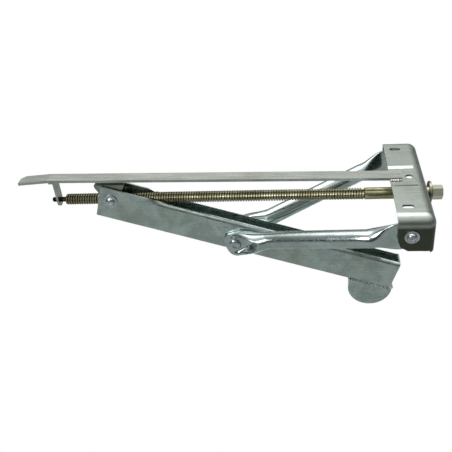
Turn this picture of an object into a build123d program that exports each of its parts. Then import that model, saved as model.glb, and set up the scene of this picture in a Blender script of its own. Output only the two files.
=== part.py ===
from build123d import *
from math import atan2, cos, degrees, hypot, radians, sin, sqrt
import os

# Screw-operated drop-down jack, folded. Millimetres. The origin is the middle of the bracket's mounting
# plane: +X runs along the lead screw towards the hex, +Y across the jack, +Z up to the vehicle.

# Lead screw, along X at this height
screw_z = -29.5
screw_r = 9.0
thread_start_x = -521.5
journal_r = 4.0
journal_end_x = -544.0
spigot_r = 6.0
hex_start_x = 46.5
hex_end_x = 61.5
hex_across_flats = 19.0
spigot_length = 13.0
thread_end_chamfer = 2.0
journal_chamfer = 1.2
hex_chamfer = 1.0
running_fit = 0.05

# Thrust washer and collar, either side of the end flange
thrust_washer_r = 17.0
thrust_washer_x = 41.0
thrust_washer_t = 3.5
thrust_washer_chamfer = 0.6
collar_r = 15.0
collar_length = 12.0
collar_end_x = 30.0
collar_pin_r = 2.5
collar_pin_short = 1.0

# Bracket, pressed from one sheet
sheet = 3.0
bracket_half_width = 114.0
bracket_left_x = -16.5
bracket_right_x = 35.5
bracket_depth = 58.0
bend_r = 15.0
corner_r = 12.0
pad_inner_y = 30.0
pad_outer_y = 24.0
pad_recess = 1.5
slot_y = 84.5
slot_length = 17.0
slot_width = 9.0
round_hole_x = 12.0
round_hole_r = 5.75

# Open edge of each side flange, X and Z from the stay's pivot, top to bottom
flange_edge = ((-19.3, 24.5), (-18.0, -8.0), (-14.0, -18.0), (-4.0, -24.0), (16.0, -24.0), (26.2, -24.5))

# Strap, resting on the bracket's recessed middle and rising slightly towards its far end
strap_width = 22.0
strap_t = 4.5
strap_root_x = 0.0
strap_rise_x = -18.0
strap_kink_x = -541.0
strap_tip_x = -590.0
strap_slope = 0.016
tip_droop = 4.0
strap_tip_chamfer = 7.0
strap_weld_leg = 3.5
strap_weld_length = 15.5

# End tab, a bent plate under the strap
tab_x = -534.5
tab_t = 3.0
tab_width = 19.0
tab_below_axis = 10.0
tab_weld_leg = 3.0

# Leg, in its own plane: u runs down the leg from the nut pivot, v across it towards the open side
leg_angle = 18.0
leg_angle_down = 75.0
nut_x = -443.7
nut_pivot_z = -25.5
leg_half_width = 16.0
leg_wall = 2.5
leg_u_start = -18.8
leg_u_end = 466.0
leg_v_bottom = -34.5
leg_v_plain_top = 21.5
leg_v_crest = 18.3
lip_r = 6.0
lip_start_u = 64.0
lip_run_in = 22.0
notch_half_width = 10.5
notch_end_u = 7.0
leg_gap = 0.3
end_plate_t = 2.5
end_plate_corner_r = 5.0

# Middle pivot, in leg coordinates
mid_u = 206.8
mid_v = -18.6
mid_pin_r = 5.0
mid_sleeve_r = 8.0
mid_rivet_head_r = 9.5
rivet_head_t = 3.6
rivet_head_round = 3.0

# Stays
bracket_pivot_x = 3.3
bracket_pivot_z = -30.5
stay_r = 14.0
stay_wall = 2.0
stay_flat_t = 4.6
stay_flat_half = 21.5
stay_tip = 15.7
stay_tip_corner_r = 13.0
stay_stand_off = 1.5
stay_leg_flat = 11.0
stay_leg_blend = 44.0
stay_bracket_flat = 15.0
stay_bracket_blend = 42.0
stay_gap = 0.3
flange_spacer_t = 2.4

# Bolts, washers and nuts at the bracket
bolt_r = 5.0
bolt_head_r = 7.0
bolt_head_t = 4.5
bolt_head_round = 2.5
bolt_end = 3.0
bolt_washer_r = 10.0
bolt_washer_t = 1.8
flange_spacer_r = 9.0
pivot_nut_across_flats = 16.0
pivot_nut_t = 8.0

# Foot
foot_r = 35.0
foot_u = 438.0
foot_drop = 5.0
sole_t = 3.0
cheek_t = 2.5
foot_weld_leg = 3.5

# Nut and its saddle
nut_length = 40.0
nut_half_width = 13.2
nut_half_height = 13.0
nut_chamfer = 1.2
saddle_length = 47.0
saddle_half_width = 11.6
saddle_sheet = 2.0
saddle_depth = 17.0
saddle_square = 3.0
saddle_taper = 8.0
saddle_bridge_length = 28.0
saddle_top_z = 0.8
trunnion_r = 5.0
trunnion_head_r = 7.5
trunnion_washer_r = 11.0
trunnion_washer_t = 1.6

os.makedirs("parts", exist_ok=True)


def write(part, label):
    part.label = label
    export_step(part, f"parts/{label}.step")


def leg_point(u, v):
    """Place of a leg coordinate in X and Z."""
    a = radians(leg_angle)
    return nut_x + u * cos(a) + v * sin(a), nut_pivot_z - u * sin(a) + v * cos(a)


def leg_plane(y):
    """Plane along the leg at a given Y, its own x down the leg and its own y towards the open side."""
    a = radians(leg_angle)
    return Plane(origin=(nut_x, y, nut_pivot_z), x_dir=(cos(a), 0, -sin(a)), z_dir=(0, -1, 0))


def side_plane(x, y, z):
    """Plane facing -Y with its own x along +X and its own y up."""
    return Plane(origin=(x, y, z), x_dir=(1, 0, 0), z_dir=(0, -1, 0))


def across(x, z, y):
    """Plane whose normal is the screw's axis."""
    return Plane(origin=(x, y, z), x_dir=(0, 1, 0), z_dir=(1, 0, 0))


mid_x, mid_z = leg_point(mid_u, mid_v)

# ---------------------------------------------------------------- bracket
box_x = bracket_right_x - bracket_left_x
box_mid_x = (bracket_right_x + bracket_left_x) / 2
flange_outline = [(bracket_pivot_x + x, bracket_pivot_z + z) for x, z in flange_edge]
outline_left_x = bracket_left_x - 1
outline_bottom_z = -bracket_depth - 1

with BuildPart() as bracket:
    with BuildSketch(Plane.XY.offset(-bracket_depth)):
        with Locations((box_mid_x, 0)):
            Rectangle(box_x, 2 * bracket_half_width)
    extrude(amount=bracket_depth)
    fillet(bracket.edges().filter_by(Axis.Z).group_by(Axis.X)[-1], corner_r)
    top_edges = bracket.faces().sort_by(Axis.Z)[-1].edges()
    fillet(top_edges.filter_by(lambda e: e.center().X > bracket_left_x + 1), bend_r)
    left_face = bracket.faces().sort_by(Axis.X)[0]
    bottom_face = bracket.faces().sort_by(Axis.Z)[0]
    offset(amount=-sheet, openings=[left_face, bottom_face])
    # the middle of the plate sits lower, so the strap on it ends near level with the pads
    with BuildSketch(Plane(origin=(bracket_left_x, 0, 0), x_dir=(0, 1, 0), z_dir=(1, 0, 0))):
        with BuildLine():
            Polyline(
                (-pad_inner_y, 0),
                (-pad_outer_y, -pad_recess),
                (pad_outer_y, -pad_recess),
                (pad_inner_y, 0),
                (-pad_inner_y, 0),
            )
        make_face()
    extrude(amount=box_x - bend_r, mode=Mode.SUBTRACT)
    with BuildSketch(Plane(origin=(bracket_left_x, 0, 0), x_dir=(0, 1, 0), z_dir=(1, 0, 0))):
        with BuildLine():
            Polyline(
                (-pad_inner_y, -sheet),
                (-pad_outer_y, -sheet - pad_recess),
                (pad_outer_y, -sheet - pad_recess),
                (pad_inner_y, -sheet),
                (-pad_inner_y, -sheet),
            )
        make_face()
    extrude(amount=box_x - bend_r)
    # mounting slots, the plain hole and the screw's hole
    with BuildSketch(Plane.XY.offset(-2 * sheet)):
        with Locations((0, slot_y), (0, -slot_y)):
            SlotOverall(slot_length, slot_width)
        with Locations((round_hole_x, 0)):
            Circle(round_hole_r)
    extrude(amount=3 * sheet, mode=Mode.SUBTRACT)
    with BuildSketch(across(bracket_right_x - 2 * sheet, screw_z, 0)):
        Circle(screw_r + running_fit)
    extrude(amount=3 * sheet, mode=Mode.SUBTRACT)
    with BuildSketch(side_plane(bracket_pivot_x, bracket_half_width + 1, bracket_pivot_z)):
        Circle(bolt_r)
    extrude(amount=2 * bracket_half_width + 2, mode=Mode.SUBTRACT)
    # side flanges: the open edge leans back to a rounded foot around the pivot
    with BuildSketch(side_plane(0, bracket_half_width + 1, 0)):
        with BuildLine():
            Polyline(
                (outline_left_x, flange_outline[0][1]),
                *flange_outline,
                (flange_outline[-1][0], outline_bottom_z),
                (outline_left_x, outline_bottom_z),
                (outline_left_x, flange_outline[0][1]),
            )
        make_face()
    extrude(amount=2 * bracket_half_width + 2, mode=Mode.SUBTRACT)
write(bracket.part, "mounting_bracket")

# ---------------------------------------------------------------- strap
strap_root_z = -pad_recess


def strap_under(x):
    """Height of the strap's underside over a given X, left of the bracket."""
    return strap_root_z + (strap_rise_x - x) * strap_slope


kink_z = strap_under(strap_kink_x)
tip_z = kink_z - (strap_kink_x - strap_tip_x) * sin(radians(tip_droop))

with BuildPart() as strap:
    with BuildSketch(side_plane(0, strap_width / 2, 0)):
        with BuildLine():
            Polyline(
                (strap_root_x, strap_root_z),
                (strap_rise_x, strap_root_z),
                (strap_kink_x, kink_z),
                (strap_tip_x, tip_z),
                (strap_tip_x, tip_z + strap_t),
                (strap_kink_x, kink_z + strap_t),
                (strap_rise_x, strap_root_z + strap_t),
                (strap_root_x, strap_root_z + strap_t),
                (strap_root_x, strap_root_z),
            )
        make_face()
    extrude(amount=strap_width)
    tip_corner = strap.edges().filter_by(lambda e: e.center().X < strap_tip_x + 0.5).sort_by(Axis.Y)[-1]
    chamfer(tip_corner, strap_tip_chamfer)
write(strap.part, "top_strap")

# ---------------------------------------------------------------- strap welds, two fillet beads
with BuildPart() as strap_welds:
    for side in (-1, 1):
        with BuildSketch(Plane(origin=(strap_root_x, 0, 0), x_dir=(0, side, 0), z_dir=(side, 0, 0))):
            with BuildLine():
                Polyline(
                    (strap_width / 2, strap_root_z),
                    (strap_width / 2 + strap_weld_leg, strap_root_z),
                    (strap_width / 2, strap_root_z + strap_weld_leg),
                    (strap_width / 2, strap_root_z),
                )
            make_face()
        extrude(amount=-side * strap_weld_length)
write(strap_welds.part, "strap_welds")

# ---------------------------------------------------------------- end tab
tab_top = strap_under(tab_x)

with BuildPart() as end_tab:
    with BuildSketch(side_plane(0, tab_width / 2, 0)):
        with BuildLine():
            Polyline(
                (tab_x + tab_t, screw_z - tab_below_axis),
                (tab_x + tab_t, strap_under(tab_x + tab_t)),
                (strap_kink_x, kink_z),
                (strap_kink_x, kink_z - tab_t),
                (tab_x, tab_top - tab_t),
                (tab_x, screw_z - tab_below_axis),
                (tab_x + tab_t, screw_z - tab_below_axis),
            )
        make_face()
    extrude(amount=tab_width)
    foot_edges = end_tab.edges().filter_by(Axis.X).group_by(Axis.Z)[0]
    fillet(foot_edges, tab_width / 2 - 0.5)
    with BuildSketch(across(tab_x - 1, screw_z, 0)):
        Circle(journal_r + running_fit)
    extrude(amount=tab_t + 2, mode=Mode.SUBTRACT)
write(end_tab.part, "end_tab")

with BuildPart() as tab_weld:
    weld_x = tab_x + tab_t
    with BuildSketch(side_plane(0, tab_width / 2 - 1, 0)):
        with BuildLine():
            Polyline(
                (weld_x, strap_under(weld_x)),
                (weld_x + tab_weld_leg, strap_under(weld_x + tab_weld_leg)),
                (weld_x, strap_under(weld_x) - tab_weld_leg),
                (weld_x, strap_under(weld_x)),
            )
        make_face()
    extrude(amount=tab_width - 2)
write(tab_weld.part, "tab_weld")

# ---------------------------------------------------------------- lead screw, hex, washer, collar
with BuildPart() as lead_screw:
    with BuildSketch(across(thread_start_x, screw_z, 0)):
        Circle(screw_r)
    extrude(amount=hex_start_x - thread_start_x)
    chamfer(lead_screw.edges().group_by(Axis.X)[0], thread_end_chamfer)
    with BuildSketch(across(journal_end_x, screw_z, 0)):
        Circle(journal_r)
    extrude(amount=thread_start_x - journal_end_x)
    chamfer(lead_screw.edges().group_by(Axis.X)[0], journal_chamfer)
    with BuildSketch(across(hex_start_x, screw_z, 0)):
        Circle(spigot_r)
    extrude(amount=spigot_length)
    with BuildSketch(side_plane(collar_end_x - collar_length / 2, -screw_r - 1, screw_z)):
        Circle(collar_pin_r)
    extrude(amount=-2 * screw_r - 2, mode=Mode.SUBTRACT)
write(lead_screw.part, "lead_screw")

with BuildPart() as hex_head:
    with BuildSketch(across(hex_start_x, screw_z, 0)):
        RegularPolygon(hex_across_flats / 2, 6, major_radius=False, rotation=0)
    extrude(amount=hex_end_x - hex_start_x)
    with BuildSketch(across(hex_start_x, screw_z, 0)):
        Circle(spigot_r)
    extrude(amount=spigot_length, mode=Mode.SUBTRACT)
    chamfer(hex_head.faces().sort_by(Axis.X)[-1].edges(), hex_chamfer)
write(hex_head.part, "hex_drive_head")

with BuildPart() as thrust_washer:
    with BuildSketch(across(thrust_washer_x, screw_z, 0)):
        Circle(thrust_washer_r)
        Circle(screw_r, mode=Mode.SUBTRACT)
    extrude(amount=thrust_washer_t)
    rim = thrust_washer.edges().filter_by(GeomType.CIRCLE).group_by(SortBy.RADIUS)[-1]
    chamfer(rim, thrust_washer_chamfer)
write(thrust_washer.part, "thrust_washer")

collar_pin_x = collar_end_x - collar_length / 2
with BuildPart() as thrust_collar:
    with BuildSketch(across(collar_end_x - collar_length, screw_z, 0)):
        Circle(collar_r)
        Circle(screw_r, mode=Mode.SUBTRACT)
    extrude(amount=collar_length)
    with BuildSketch(side_plane(collar_pin_x, -collar_r - 1, screw_z)):
        Circle(collar_pin_r)
    extrude(amount=-2 * collar_r - 2, mode=Mode.SUBTRACT)
write(thrust_collar.part, "thrust_collar")

with BuildPart() as collar_pin:
    with BuildSketch(side_plane(collar_pin_x, -collar_r + collar_pin_short, screw_z)):
        Circle(collar_pin_r)
    extrude(amount=2 * (collar_pin_short - collar_r))
write(collar_pin.part, "collar_pin")

# ---------------------------------------------------------------- nut, saddle, trunnions
with BuildPart() as drive_nut:
    with BuildSketch(across(nut_x - nut_length / 2, screw_z, 0)):
        Rectangle(2 * nut_half_width, 2 * nut_half_height)
        Circle(screw_r + running_fit, mode=Mode.SUBTRACT)
    extrude(amount=nut_length)
    chamfer(drive_nut.edges().filter_by(Axis.X), nut_chamfer)
write(drive_nut.part, "drive_nut")

nut_top_z = screw_z + nut_half_height
saddle_mid_z = saddle_top_z - saddle_depth / 2
saddle_cheek_y = saddle_half_width - saddle_sheet / 2
cut_x = saddle_length / 2 + 1
cut_z = saddle_top_z - saddle_depth - 1
with BuildPart() as saddle:
    with BuildSketch(across(nut_x - saddle_length / 2, saddle_mid_z, 0)):
        with Locations((0, (saddle_depth - saddle_sheet) / 2)):
            Rectangle(2 * saddle_half_width, saddle_sheet)
        with Locations((saddle_cheek_y, 0), (-saddle_cheek_y, 0)):
            Rectangle(saddle_sheet, saddle_depth)
    extrude(amount=saddle_length)
    # the cheeks narrow downwards
    with BuildSketch(side_plane(nut_x, saddle_half_width + 1, 0)):
        for side in (-1, 1):
            with BuildLine():
                Polyline(
                    (side * cut_x, saddle_top_z - saddle_square),
                    (side * saddle_length / 2, saddle_top_z - saddle_square),
                    (side * (saddle_length / 2 - saddle_taper), cut_z),
                    (side * cut_x, cut_z),
                    (side * cut_x, saddle_top_z - saddle_square),
                )
            make_face()
    extrude(amount=2 * saddle_half_width + 2, mode=Mode.SUBTRACT)
    # a bridge stands on the nut block and carries the cap
    with BuildSketch(Plane.XY.offset(nut_top_z)):
        with Locations((nut_x, 0)):
            Rectangle(saddle_bridge_length, 2 * (saddle_half_width - saddle_sheet))
    extrude(amount=saddle_top_z - saddle_sheet - nut_top_z)
write(saddle.part, "nut_saddle")

washer_outer_y = leg_half_width + leg_gap + trunnion_washer_t

with BuildPart() as rivets:
    for side in (-1, 1):
        with BuildSketch(
            Plane(origin=(nut_x, side * nut_half_width, nut_pivot_z), x_dir=(1, 0, 0), z_dir=(0, side, 0))
        ):
            Circle(trunnion_r)
        extrude(amount=washer_outer_y - nut_half_width)
        with BuildSketch(
            Plane(origin=(nut_x, side * washer_outer_y, nut_pivot_z), x_dir=(1, 0, 0), z_dir=(0, side, 0))
        ):
            Circle(trunnion_head_r)
        extrude(amount=rivet_head_t)
    heads = rivets.faces().filter_by(Axis.Y).filter_by(lambda f: abs(f.center().Y) > washer_outer_y + 3)
    fillet(heads.edges(), rivet_head_round)
write(rivets.part, "trunnion_rivets")

with BuildPart() as trunnion_washers:
    for side in (-1, 1):
        with BuildSketch(
            Plane(
                origin=(nut_x, side * (leg_half_width + leg_gap), nut_pivot_z),
                x_dir=(1, 0, 0),
                z_dir=(0, side, 0),
            )
        ):
            Circle(trunnion_washer_r)
            Circle(trunnion_r, mode=Mode.SUBTRACT)
        extrude(amount=trunnion_washer_t)
write(trunnion_washers.part, "trunnion_washers")


# ---------------------------------------------------------------- leg channel
def leg_section(lipped):
    """Channel section in the plane across the leg: web below, walls up, lips curled in when lipped."""
    w = leg_half_width
    t = leg_wall
    b = leg_v_bottom
    top = leg_v_crest - lip_r if lipped else leg_v_plain_top
    with BuildSketch() as section:
        with Locations((0, (top + b) / 2)):
            Rectangle(2 * w, top - b)
        fillet(section.vertices().group_by(Axis.Y)[0], lip_r)
        with BuildSketch(mode=Mode.PRIVATE) as inside:
            with Locations((0, (top + b + t) / 2)):
                Rectangle(2 * (w - t), top - b - t)
            fillet(inside.vertices().group_by(Axis.Y)[0], lip_r - t)
        add(inside.sketch, mode=Mode.SUBTRACT)
        if lipped:
            for side in (-1, 1):
                with BuildSketch(mode=Mode.PRIVATE) as lip:
                    with Locations((side * (w - lip_r), top)):
                        Circle(lip_r)
                        Circle(lip_r - t, mode=Mode.SUBTRACT)
                    with Locations((side * (w - lip_r / 2), top + lip_r / 2)):
                        Rectangle(lip_r, lip_r, mode=Mode.INTERSECT)
                add(lip.sketch)
    return section.sketch


def leg_cross(u):
    """Plane across the leg at u, its own x along +Y and its own y towards the open side."""
    a = radians(leg_angle)
    x, z = leg_point(u, 0)
    return Plane(origin=(x, 0, z), x_dir=(0, 1, 0), z_dir=(cos(a), 0, -sin(a)))


with BuildPart() as leg:
    with BuildSketch(leg_cross(leg_u_start)):
        add(leg_section(False))
    extrude(amount=lip_start_u + lip_run_in - leg_u_start)
    # the plain walls run down to the lips' height over a short stretch
    with BuildSketch(leg_plane(leg_half_width + 1)):
        with BuildLine():
            Polyline(
                (lip_start_u, leg_v_plain_top),
                (lip_start_u + lip_run_in, leg_v_crest - lip_r),
                (lip_start_u + lip_run_in + 1, leg_v_crest - lip_r),
                (lip_start_u + lip_run_in + 1, leg_v_plain_top + 1),
                (lip_start_u, leg_v_plain_top + 1),
                (lip_start_u, leg_v_plain_top),
            )
        make_face()
    extrude(amount=2 * leg_half_width + 2, mode=Mode.SUBTRACT)
    with BuildSketch(leg_cross(lip_start_u + lip_run_in)):
        add(leg_section(True))
    extrude(amount=leg_u_end - lip_start_u - lip_run_in)
    # notch in the web, so that the screw passes when the leg stands down
    notch_x, notch_z = leg_point(0, leg_v_bottom - 1)
    with BuildSketch(
        Plane(
            origin=(notch_x, 0, notch_z),
            x_dir=(cos(radians(leg_angle)), 0, -sin(radians(leg_angle))),
            z_dir=(sin(radians(leg_angle)), 0, cos(radians(leg_angle))),
        )
    ):
        with Locations((notch_end_u - 30, 0)):
            Rectangle(60, 2 * notch_half_width)
        with Locations((notch_end_u, 0)):
            Circle(notch_half_width)
    extrude(amount=12, mode=Mode.SUBTRACT)
    with BuildSketch(leg_plane(leg_half_width + 1)):
        Circle(trunnion_r + running_fit)
        with Locations((mid_u, mid_v)):
            Circle(mid_pin_r)
    extrude(amount=2 * leg_half_width + 2, mode=Mode.SUBTRACT)
write(leg.part, "leg_channel")

with BuildPart() as end_plate:
    with BuildSketch(leg_cross(leg_u_end)):
        with Locations((0, (leg_v_crest + leg_v_bottom) / 2)):
            RectangleRounded(2 * leg_half_width, leg_v_crest - leg_v_bottom, end_plate_corner_r)
    extrude(amount=end_plate_t)
write(end_plate.part, "leg_end_plate")

with BuildPart() as mid_pin:
    with BuildSketch(leg_plane(leg_half_width)):
        with Locations((mid_u, mid_v)):
            Circle(mid_pin_r)
    extrude(amount=2 * leg_half_width)
write(mid_pin.part, "mid_pivot_pin")

with BuildPart() as mid_sleeve:
    sleeve_half = leg_half_width - leg_wall
    with BuildSketch(leg_plane(sleeve_half)):
        with Locations((mid_u, mid_v)):
            Circle(mid_sleeve_r)
            Circle(mid_pin_r, mode=Mode.SUBTRACT)
    extrude(amount=2 * sleeve_half)
write(mid_sleeve.part, "mid_pivot_sleeve")

# ---------------------------------------------------------------- foot
foot_v = leg_v_bottom - foot_drop
cheek_r = foot_r - sole_t

with BuildPart() as foot_cheeks:
    for y in (leg_half_width, -leg_half_width + cheek_t):
        with BuildSketch(leg_plane(y)):
            with Locations((foot_u, foot_v)):
                Circle(cheek_r)
            with Locations((foot_u, (leg_v_bottom + foot_v) / 2)):
                Rectangle(2 * cheek_r, foot_drop)
            with Locations((foot_u, leg_v_bottom + foot_r)):
                Rectangle(3 * foot_r, 2 * foot_r, mode=Mode.SUBTRACT)
        extrude(amount=cheek_t)
write(foot_cheeks.part, "foot_cheeks")

with BuildPart() as foot_sole:
    with BuildSketch(leg_plane(leg_half_width)):
        with Locations((foot_u, foot_v)):
            Circle(foot_r)
            Circle(cheek_r, mode=Mode.SUBTRACT)
        with Locations((foot_u, foot_v + foot_r)):
            Rectangle(3 * foot_r, 2 * foot_r, mode=Mode.SUBTRACT)
        for side in (-1, 1):
            with Locations((foot_u + side * (foot_r - sole_t / 2), (leg_v_bottom + foot_v) / 2)):
                Rectangle(sole_t, foot_drop)
    extrude(amount=2 * leg_half_width)
write(foot_sole.part, "foot_sole")

with BuildPart() as foot_welds:
    for side in (-1, 1):
        weld_u = foot_u + side * foot_r
        with BuildSketch(leg_plane(leg_half_width - lip_r)):
            with BuildLine():
                Polyline(
                    (weld_u, leg_v_bottom),
                    (weld_u + side * foot_weld_leg, leg_v_bottom),
                    (weld_u, leg_v_bottom - foot_weld_leg),
                    (weld_u, leg_v_bottom),
                )
            make_face()
        extrude(amount=2 * (leg_half_width - lip_r))
write(foot_welds.part, "foot_welds")

# ---------------------------------------------------------------- stays
stay_dx = bracket_pivot_x - mid_x
stay_dz = bracket_pivot_z - mid_z
stay_length = hypot(stay_dx, stay_dz)
stay_tilt = atan2(stay_dz, stay_dx)
leg_flat_y = leg_half_width + leg_gap + stay_flat_t / 2
flange_inner_y = bracket_half_width - sheet
bracket_flat_y = flange_inner_y - flange_spacer_t - stay_gap - stay_flat_t / 2
leg_round_y = leg_half_width + leg_gap + stay_r + stay_stand_off
bracket_round_y = bracket_flat_y + stay_flat_t / 2 - stay_r
# a hair off round, so that the lofted sections are all ellipses
stay_minor_r = stay_r - 0.01


def stay_cross(s, y, side, turn=0.0):
    """Plane across a stay at s along it, its own x up across the stay and its own y away from the leg."""
    a = stay_tilt
    n = (cos(a) * cos(turn), side * sin(turn), sin(a) * cos(turn))
    origin = (mid_x + s * cos(a), side * y, mid_z + s * sin(a))
    return Plane(origin=origin, x_dir=(-sin(a), 0, cos(a)), z_dir=n)


round_start_s = stay_leg_flat + stay_leg_blend
round_end_s = stay_length - stay_bracket_flat - stay_bracket_blend
splay = atan2(bracket_round_y - leg_round_y, round_end_s - round_start_s)


def build_stay(side):
    with BuildPart() as stay:
        for s0, out, y, flat in (
            (0, -1, leg_flat_y, stay_leg_flat),
            (stay_length, 1, bracket_flat_y, stay_bracket_flat),
        ):
            a = stay_tilt
            origin = (mid_x + s0 * cos(a), side * y + stay_flat_t / 2, mid_z + s0 * sin(a))
            reach = stay_tip + flat
            with BuildSketch(Plane(origin=origin, x_dir=(cos(a), 0, sin(a)), z_dir=(0, -1, 0))):
                with Locations((out * (stay_tip - reach / 2), 0)):
                    RectangleRounded(reach, 2 * stay_flat_half, stay_tip_corner_r)
                with Locations((-out * flat / 2, 0)):
                    Rectangle(flat, 2 * stay_flat_half)
            extrude(amount=stay_flat_t)
        with BuildSketch(stay_cross(stay_leg_flat, leg_flat_y, side)):
            Ellipse(stay_flat_half, stay_flat_t / 2)
        with BuildSketch(stay_cross(round_start_s, leg_round_y, side, splay)):
            Ellipse(stay_r, stay_minor_r)
        loft()
        with BuildSketch(stay_cross(round_start_s, leg_round_y, side, splay)):
            Ellipse(stay_r, stay_minor_r)
        with BuildSketch(stay_cross(round_end_s, bracket_round_y, side, splay)):
            Ellipse(stay_r, stay_minor_r)
        loft()
        with BuildSketch(stay_cross(round_end_s, bracket_round_y, side, splay)):
            Ellipse(stay_r, stay_minor_r)
        with BuildSketch(stay_cross(stay_length - stay_bracket_flat, bracket_flat_y, side)):
            Ellipse(stay_flat_half, stay_flat_t / 2)
        loft()
        with BuildSketch(stay_cross(round_start_s, leg_round_y, side, splay)):
            Circle(stay_r - stay_wall)
        extrude(
            amount=hypot(bracket_round_y - leg_round_y, round_end_s - round_start_s), mode=Mode.SUBTRACT
        )
        with BuildSketch(side_plane(mid_x, side * leg_flat_y + stay_flat_t, mid_z)):
            Circle(mid_pin_r)
        extrude(amount=2 * stay_flat_t, mode=Mode.SUBTRACT)
        with BuildSketch(
            side_plane(bracket_pivot_x, side * bracket_flat_y + stay_flat_t, bracket_pivot_z)
        ):
            Circle(bolt_r + running_fit)
        extrude(amount=2 * stay_flat_t, mode=Mode.SUBTRACT)
    return stay.part


write(build_stay(-1), "stay_near")
write(build_stay(1), "stay_far")

stay_outer_y = leg_flat_y + stay_flat_t / 2
for side, label in ((-1, "mid_rivet_near"), (1, "mid_rivet_far")):
    with BuildPart() as mid_rivet:
        with BuildSketch(
            Plane(
                origin=(mid_x, side * (stay_outer_y - stay_flat_t), mid_z),
                x_dir=(1, 0, 0),
                z_dir=(0, side, 0),
            )
        ):
            Circle(mid_pin_r)
        extrude(amount=stay_flat_t)
        with BuildSketch(
            Plane(origin=(mid_x, side * stay_outer_y, mid_z), x_dir=(1, 0, 0), z_dir=(0, side, 0))
        ):
            Circle(mid_rivet_head_r)
        extrude(amount=rivet_head_t)
        rivet_top = mid_rivet.faces().filter_by(Axis.Y).filter_by(
            lambda f: abs(f.center().Y) > stay_outer_y + 3
        )
        fillet(rivet_top.edges(), rivet_head_round)
    write(mid_rivet.part, label)

# ---------------------------------------------------------------- bracket bolts, washers, nuts
stay_inner_y = bracket_flat_y - stay_flat_t / 2
bolt_end_y = stay_inner_y - pivot_nut_t - bolt_end
bolt_head_y = bracket_half_width + bolt_washer_t

with BuildPart() as pivot_bolts:
    for side in (-1, 1):
        with BuildSketch(
            Plane(
                origin=(bracket_pivot_x, side * bolt_end_y, bracket_pivot_z),
                x_dir=(1, 0, 0),
                z_dir=(0, side, 0),
            )
        ):
            Circle(bolt_r)
        extrude(amount=bolt_head_y - bolt_end_y)
        with BuildSketch(
            Plane(
                origin=(bracket_pivot_x, side * bolt_head_y, bracket_pivot_z),
                x_dir=(1, 0, 0),
                z_dir=(0, side, 0),
            )
        ):
            Circle(bolt_head_r)
        extrude(amount=bolt_head_t)
    bolt_tops = pivot_bolts.faces().filter_by(Axis.Y).filter_by(
        lambda f: abs(f.center().Y) > bolt_head_y + bolt_head_t / 2
    )
    fillet(bolt_tops.edges(), bolt_head_round)
write(pivot_bolts.part, "pivot_bolts")

with BuildPart() as pivot_washers:
    for side in (-1, 1):
        with BuildSketch(
            Plane(
                origin=(bracket_pivot_x, side * bracket_half_width, bracket_pivot_z),
                x_dir=(1, 0, 0),
                z_dir=(0, side, 0),
            )
        ):
            Circle(bolt_washer_r)
            Circle(bolt_r, mode=Mode.SUBTRACT)
        extrude(amount=bolt_washer_t)
write(pivot_washers.part, "pivot_washers")

with BuildPart() as pivot_spacers:
    for side in (-1, 1):
        with BuildSketch(
            Plane(
                origin=(bracket_pivot_x, side * flange_inner_y, bracket_pivot_z),
                x_dir=(1, 0, 0),
                z_dir=(0, -side, 0),
            )
        ):
            Circle(flange_spacer_r)
            Circle(bolt_r, mode=Mode.SUBTRACT)
        extrude(amount=flange_spacer_t)
write(pivot_spacers.part, "pivot_spacers")

with BuildPart() as pivot_nuts:
    for side in (-1, 1):
        with BuildSketch(
            Plane(
                origin=(bracket_pivot_x, side * (stay_inner_y - stay_gap), bracket_pivot_z),
                x_dir=(1, 0, 0),
                z_dir=(0, -side, 0),
            )
        ):
            RegularPolygon(pivot_nut_across_flats / 2, 6, major_radius=False)
            Circle(bolt_r, mode=Mode.SUBTRACT)
        extrude(amount=pivot_nut_t)
write(pivot_nuts.part, "pivot_nuts")

# ---------------------------------------------------------------- travel of the closed linkage
crank = hypot(mid_u, mid_v)
crank_rest = radians(leg_angle) + atan2(-mid_v, mid_u)
crank_down = crank_rest + radians(leg_angle_down - leg_angle)
mid_z_down = nut_pivot_z - crank * sin(crank_down)
reach_down = sqrt(stay_length**2 - (bracket_pivot_z - mid_z_down) ** 2)
nut_travel = bracket_pivot_x - reach_down - crank * cos(crank_down) - nut_x
stay_swing = degrees(atan2(bracket_pivot_z - mid_z_down, reach_down) - stay_tilt)
print("nut travel mm", round(nut_travel, 4), "stay swing deg", round(stay_swing, 5))
print("middle pivot", round(mid_x, 4), round(mid_z, 4))
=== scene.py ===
from math import atan2, cos, pi, radians, sin, sqrt
from random import Random

import bmesh
import bpy
from mathutils import Matrix, Vector


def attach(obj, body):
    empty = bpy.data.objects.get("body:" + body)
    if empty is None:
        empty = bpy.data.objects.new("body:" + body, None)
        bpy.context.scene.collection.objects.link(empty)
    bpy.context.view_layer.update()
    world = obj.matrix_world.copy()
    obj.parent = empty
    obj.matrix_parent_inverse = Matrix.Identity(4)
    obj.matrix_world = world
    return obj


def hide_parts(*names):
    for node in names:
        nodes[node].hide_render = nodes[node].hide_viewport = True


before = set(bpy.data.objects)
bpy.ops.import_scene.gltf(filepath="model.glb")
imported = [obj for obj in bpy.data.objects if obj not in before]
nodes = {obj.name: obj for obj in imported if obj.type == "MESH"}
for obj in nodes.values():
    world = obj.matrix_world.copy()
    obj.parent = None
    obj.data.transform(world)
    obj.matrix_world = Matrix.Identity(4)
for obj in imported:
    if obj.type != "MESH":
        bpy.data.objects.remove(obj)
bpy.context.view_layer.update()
scene = bpy.context.scene


# ---- camera, in front of the near side and above, the hex end a little closer
view = {
    "place": (-0.1289, -0.8546, 0.4898),
    "turn": radians(9.24),  # about the vertical
    "tip": radians(33.6),  # down from level
    "lean": radians(5.88),  # about the line of sight
    "lens": 51.65,
    "sensor": 36,
    "reach": 20,
}


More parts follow.
